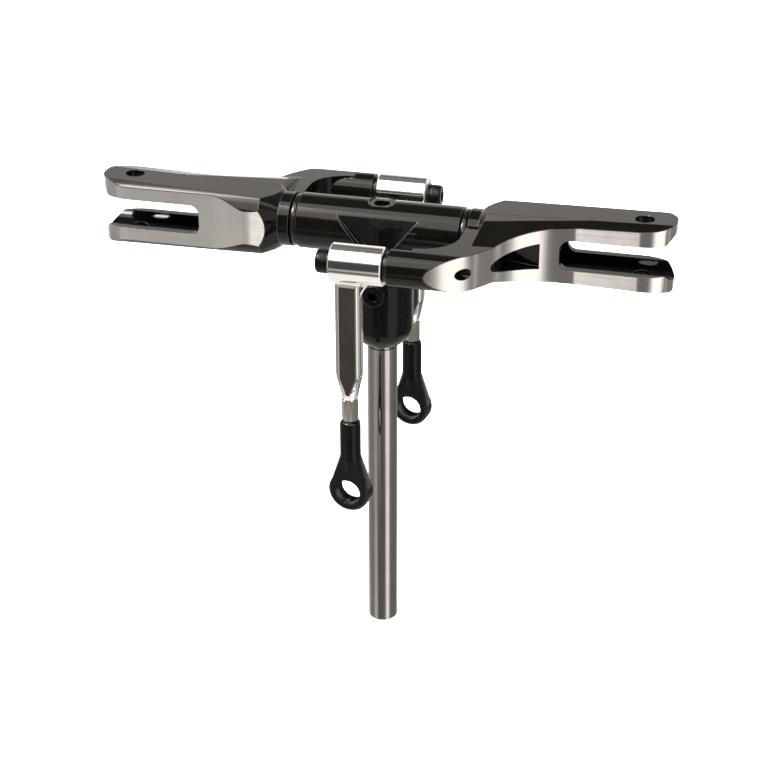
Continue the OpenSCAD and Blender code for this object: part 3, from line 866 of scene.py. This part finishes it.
@dataclass(frozen=True)
class Spindle:
    """Feathering shaft with its screws, washers, spacer rings and the bearing parts fixed to it."""

    screw: CapScrew = CapScrew(1.25, 7.0, 2.2, 1.5, 2.0, 0.75, rim=0.3, pitch=0.45)
    washer_x: float = 26.8
    washer_h: float = 0.5
    washer_bore: float = 1.27
    washer_r: float = 2.6
    flange_x: tuple[float, float] = (13.5, 14.2)
    flange_r: float = 4.2
    boss_r: float = 2.6
    boss_x: float = 17.18
    bore_r: float = 2.02
    edge: float = 0.08
    flange_edge: float = 0.1
    flange_bend: float = 0.03

    def rings(self, section: np.ndarray, x: float, count: int = 96) -> list[np.ndarray]:
        """A turned section about the feathering axis on both sides, from x outwards.

        Args:
            section: radius and height of its stations.
            x: where its height is zero.
            count: points round.

        Returns:
            One grid for each side, in the row frame.
        """
        grid = station_grid(section[:, :1], section[:, 1], round_angles(count))
        grid = Axis((x, 0, 0), (1, 0, 0)).carry(grid)
        return [side.place(grid) for side in Side]

    def build(self) -> None:
        """Builds and dresses the spindle's pieces."""
        line = Axis((self.washer_x + self.washer_h, 0, 0), (1, 0, 0))
        screw = line.carry(self.screw.grid())
        Piece("spindle_cap_screws").from_grids([side.place(screw) for side in Side]).dress(
            "spindle", ["spindle_screws"], [BLACK_OXIDE])
        washer = ring_section(self.washer_bore, self.washer_r, 0, self.washer_h, self.edge)
        Piece("spindle_thrust_washers").from_grids(self.rings(washer, self.washer_x), looped=True).dress(
            "spindle", ["spindle_washers"], [ZINC])
        long, wide = self.boss_x - self.flange_x[0], self.flange_x[1] - self.flange_x[0]
        bore, boss, flange = self.bore_r, self.boss_r, self.flange_r
        ease, edge, bend = self.edge, self.flange_edge, self.flange_bend
        spacer = np.array([(bore, ease), (bore + ease, 0), (flange - edge, 0), (flange - bend, bend),
                           (flange, edge), (flange, wide - edge), (flange - bend, wide - bend),
                           (flange - edge, wide), (boss, wide), (boss, long - ease), (boss - ease, long),
                           (bore, long)])
        Piece("turned_damper_spacers").from_grids(self.rings(spacer, self.flange_x[0]), looped=True).dress(
            "spindle", ["damper_spacers"], [DARK_STEEL])
        finish_node("feathering_shaft", SPINDLE_STEEL)
        finish_node("bearing_inner_rings", BEARING_STEEL)
        finish_node("thrust_shaft_races", BEARING_STEEL)


@dataclass(frozen=True)
class WallPlan:
    """Plan of the bright side walls that the grips are machined to."""

    tip: tuple[float, float] = (10.65, -18.72)
    tip_handle: tuple[float, float] = (6.9, 2.08)
    mid: tuple[float, float] = (20.2, -11.2)
    mid_dir: tuple[float, float] = (0.574, 0.819)
    mid_handles: tuple[float, float] = (2.95, 3.02)
    fork_x: float = 32.0
    fork_handle: tuple[float, float] = (6.38, 0.4)
    fork_half: float = 4.6
    fork_tip_x: float = 46.9
    tip_length: float = 5.4
    tip_flat: float = 0.5
    swell_x: tuple[float, float] = (27.2, 21.3)
    swell_handle: float = 1.5
    root_half: float = 5.85
    root_bend_x: float = 20.3
    root_bend: float = 4.5
    steps: int = 60

    def curve(self, control: Sequence[np.ndarray]) -> np.ndarray:
        """Points of the cubic curve with four control points.

        Args:
            control: X and Y of the control points.

        Returns:
            X and Y of each point.
        """
        t = np.linspace(0, 1, self.steps)[:, None]
        a, b, c, d = (np.array(p) for p in control)
        return (1 - t) ** 3 * a + 3 * (1 - t) ** 2 * t * b + 3 * (1 - t) * t ** 2 * c + t ** 3 * d

    def oval(self, y: float, start: float) -> np.ndarray:
        """Quarter of the oval tip.

        Args:
            y: Y of its centre.
            start: angle at which it starts.

        Returns:
            X and Y of each point.
        """
        a = np.linspace(start, start + TURN / 4, self.steps)
        reach = (self.tip_length, self.fork_half - self.tip_flat)
        centre = self.fork_tip_x - self.tip_length
        return np.stack([centre + reach[0] * np.cos(a), y + reach[1] * np.sin(a)], axis=1)

    def outline(self) -> np.ndarray:
        """The plan from the arm's tip round the fork to the root.

        Returns:
            X and Y of each point.
        """
        tip, mid, way = np.array(self.tip), np.array(self.mid), np.array(self.mid_dir)
        half, root, (swell0, swell1), handle = self.fork_half, self.root_half, self.swell_x, self.swell_handle
        fork = np.array((self.fork_x, -half))
        inner = root - self.root_bend_x * math.tan(math.radians(self.root_bend))
        return np.concatenate([
            [(0, tip[1])],
            self.curve([tip, tip + self.tip_handle, mid - self.mid_handles[0] * way, mid]),
            self.curve([mid, mid + self.mid_handles[1] * way, fork - self.fork_handle, fork]),
            self.oval(-self.tip_flat, -TURN / 4),
            self.oval(self.tip_flat, 0),
            self.curve([(swell0, half), (swell0 - handle, half), (swell1 + handle, root), (swell1, root)]),
            [(self.root_bend_x, root), (0, inner)],
        ])

    def distance(self, points: np.ndarray) -> np.ndarray:
        """Distance in plan from each point to the outline: the least over its straight pieces.

        Args:
            points: X and Y of each point.

        Returns:
            One distance for each point.
        """
        line = self.outline()
        start, run = line[:-1], np.diff(line, axis=0)
        long = np.maximum((run ** 2).sum(1), 1e-12)
        away = points[:, None, :] - start[None]
        along = np.clip((away * run).sum(2) / long, 0, 1)
        return np.linalg.norm(away - along[..., None] * run, axis=2).min(1)


@dataclass(frozen=True)
class BladeGrip:
    """A blade grip with its bearings, pivot bolt and pivot washers."""

    side: Side
    plan: WallPlan = WallPlan()
    wall_reach: float = 0.05
    upright: float = 0.02
    edge: float = 0.07
    sharp: float = 10.0
    bolt: CapScrew = CapScrew(1.0, 18.52, 1.9, 1.95, 1.5, 1.0)
    pivot_y: float = -15.7
    bolt_x: float = -4.32
    head_washer: tuple[float, float, float] = (-4.32, -4.02, 1.95)
    arm_washer: tuple[float, float, float] = (4.57, 5.18, 2.4)
    washer_bore: float = 1.02
    washer_edge: float = 0.06
    washer_around: int = 96

    def grip(self) -> None:
        """Eases the grip's edges; upright faces on the plan are bright, all others black."""
        piece = Piece(self.side.node("forked_blade_grip")).from_node(self.side.node("blade_grip"), self.sharp)
        upright = np.abs(piece.face_array("normal")[:, 2]) < self.upright
        places = self.side.local(piece.face_array("center"))[:, :2]
        wall = upright & (self.plan.distance(places) < self.wall_reach)
        made = piece.dress(self.side.node("grip"), [self.side.node("blade_grip")],
                           [BLACK_ANODISED, MACHINED_WALL, BLACK_EDGE_WEAR_AND_HIGHLIGHT], wall)
        ease_edges(made, self.edge, 2, angle=self.sharp)

    def pivot(self) -> None:
        """Puts in the pivot bolt and its two washers."""
        body = self.side.node("grip")
        line = Axis((self.bolt_x, self.pivot_y, 0), (-1, 0, 0))
        grid = self.side.place(line.carry(self.bolt.grid()))
        Piece(self.side.node("pivot_cap_screw")).from_grids([grid]).dress(
            body, [self.side.node("pivot_bolt")], [BLACK_OXIDE])
        grids = []
        for low, high, radius in (self.head_washer, self.arm_washer):
            section = ring_section(self.washer_bore, radius, 0, high - low, self.washer_edge)
            ring = station_grid(section[:, :1], section[:, 1], round_angles(self.washer_around))
            grids.append(self.side.place(Axis((low, self.pivot_y, 0), (1, 0, 0)).carry(ring)))
        Piece(self.side.node("pivot_washer_pair")).from_grids(grids, looped=True).dress(
            body, [self.side.node("pivot_washers")], [DARK_STEEL])

    def build(self) -> None:
        """Builds and dresses the grip's pieces."""
        self.grip()
        self.pivot()
        for base in ("bearing_outer_rings", "bearing_balls", "thrust_grip_race", "thrust_balls",
                     "link_inner_rings"):
            finish_node(self.side.node(base), BEARING_STEEL)


@dataclass(frozen=True)
class PitchLink:
    """A hanging pitch link: bright arm with dark blade faces, its bearings, hexagon stud and ball link."""

    side: Side
    pivot_y: float = -15.7
    link_x: float = -1.3
    blade_top: float = -3.5
    facing: float = 0.999
    edge: float = 0.24
    stud_r: float = 1.0
    stud_ends: tuple[float, float] = (-34.0, -16.5)
    stud_hex: tuple[float, float] = (-26.9, -23.05)
    stud_af: float = 2.4
    stud_around: int = 96
    end_ease: float = 0.15
    end_taper: float = 0.2
    neck: float = 0.05
    cone: tuple[float, float] = (0.02, 0.14)
    pitch: float = 0.4
    thread_depth: float = 0.11
    turn_steps: int = 5
    plastic_edge: float = 0.22

    def arm(self) -> None:
        """Eases the arm's edges; the blade's front and back faces are dark, all others bright."""
        piece = Piece(self.side.node("pitch_link_arm")).from_node(
            self.side.node("link_arm"), split_z=self.blade_top)
        facing = np.abs(piece.face_array("normal")[:, 1]) > self.facing
        low = self.side.local(piece.face_array("center"))[:, 2] < self.blade_top
        made = piece.dress(self.side.node("link"), [self.side.node("link_arm")],
                           [POLISHED_BARREL, DARK_BLADE], facing & low)
        ease_edges(made, self.edge, 0)

    def thread(self, start: float, end: float, angles: np.ndarray) -> list[Row]:
        """One of the stud's threads.

        Args:
            start: height at which it starts.
            end: height at which it ends.
            angles: the angles round.

        Returns:
            Its rows.
        """
        count = int(abs(end - start) / self.pitch * self.turn_steps) + 2
        return thread_rows(self.stud_r, self.thread_depth, self.pitch, np.linspace(start, end, count), angles)

    def stud(self) -> None:
        """The stud about Z: a hexagon cut by a cone at both ends, with threads above and below."""
        angles = round_angles(self.stud_around)
        (low, high), (hex_low, hex_high), (tip, foot) = self.stud_ends, self.stud_hex, self.cone
        even = np.ones_like(angles)
        flats, half = hexagon(angles, self.stud_af), self.stud_af / 2
        cut, face = np.minimum(flats, half * 1.02), 0.95 * half * even
        end = (self.stud_r - self.end_taper) * even
        rows = [(0 * even, high), (end, high)]
        rows += self.thread(high - self.end_ease, hex_high + self.neck, angles)
        rows += [(face, hex_high), (cut, hex_high - tip), (flats, hex_high - foot), (flats, hex_low + foot),
                 (cut, hex_low + tip), (face, hex_low)]
        rows += self.thread(hex_low - self.neck, low + self.end_ease, angles)
        rows += [(end, low), (0 * even, low)]
        grid = rows_grid(rows, angles)
        grid = self.side.place(grid + [self.link_x, self.pivot_y, 0])
        Piece(self.side.node("hexagon_stud")).from_grids([grid]).dress(
            self.side.node("link"), [self.side.node("link_stud")], [ZINC])

    def ball_link(self) -> None:
        """Rounds the moulded ball link's edges and gives it its plastic."""
        made = Piece(self.side.node("moulded_ball_link")).from_node(self.side.node("ball_link")).dress(
            self.side.node("ball_end"), [self.side.node("ball_link")], [LINK_PLASTIC])
        ease_edges(made, self.plastic_edge, 0, 3, clamp=True)

    def build(self) -> None:
        """Builds and dresses the link's pieces."""
        self.arm()
        self.stud()
        self.ball_link()
        for base in ("link_outer_rings", "link_balls"):
            finish_node(self.side.node(base), BEARING_STEEL)


def main() -> None:
    """Builds the studio and every sub-assembly in order."""
    logging.basicConfig(level=logging.INFO, format="%(name)s %(message)s")
    Studio().build()
    FixedHub().build()
    Spindle().build()
    for side in Side:
        BladeGrip(side).build()
        PitchLink(side).build()


if __name__ == "__main__":
    main()
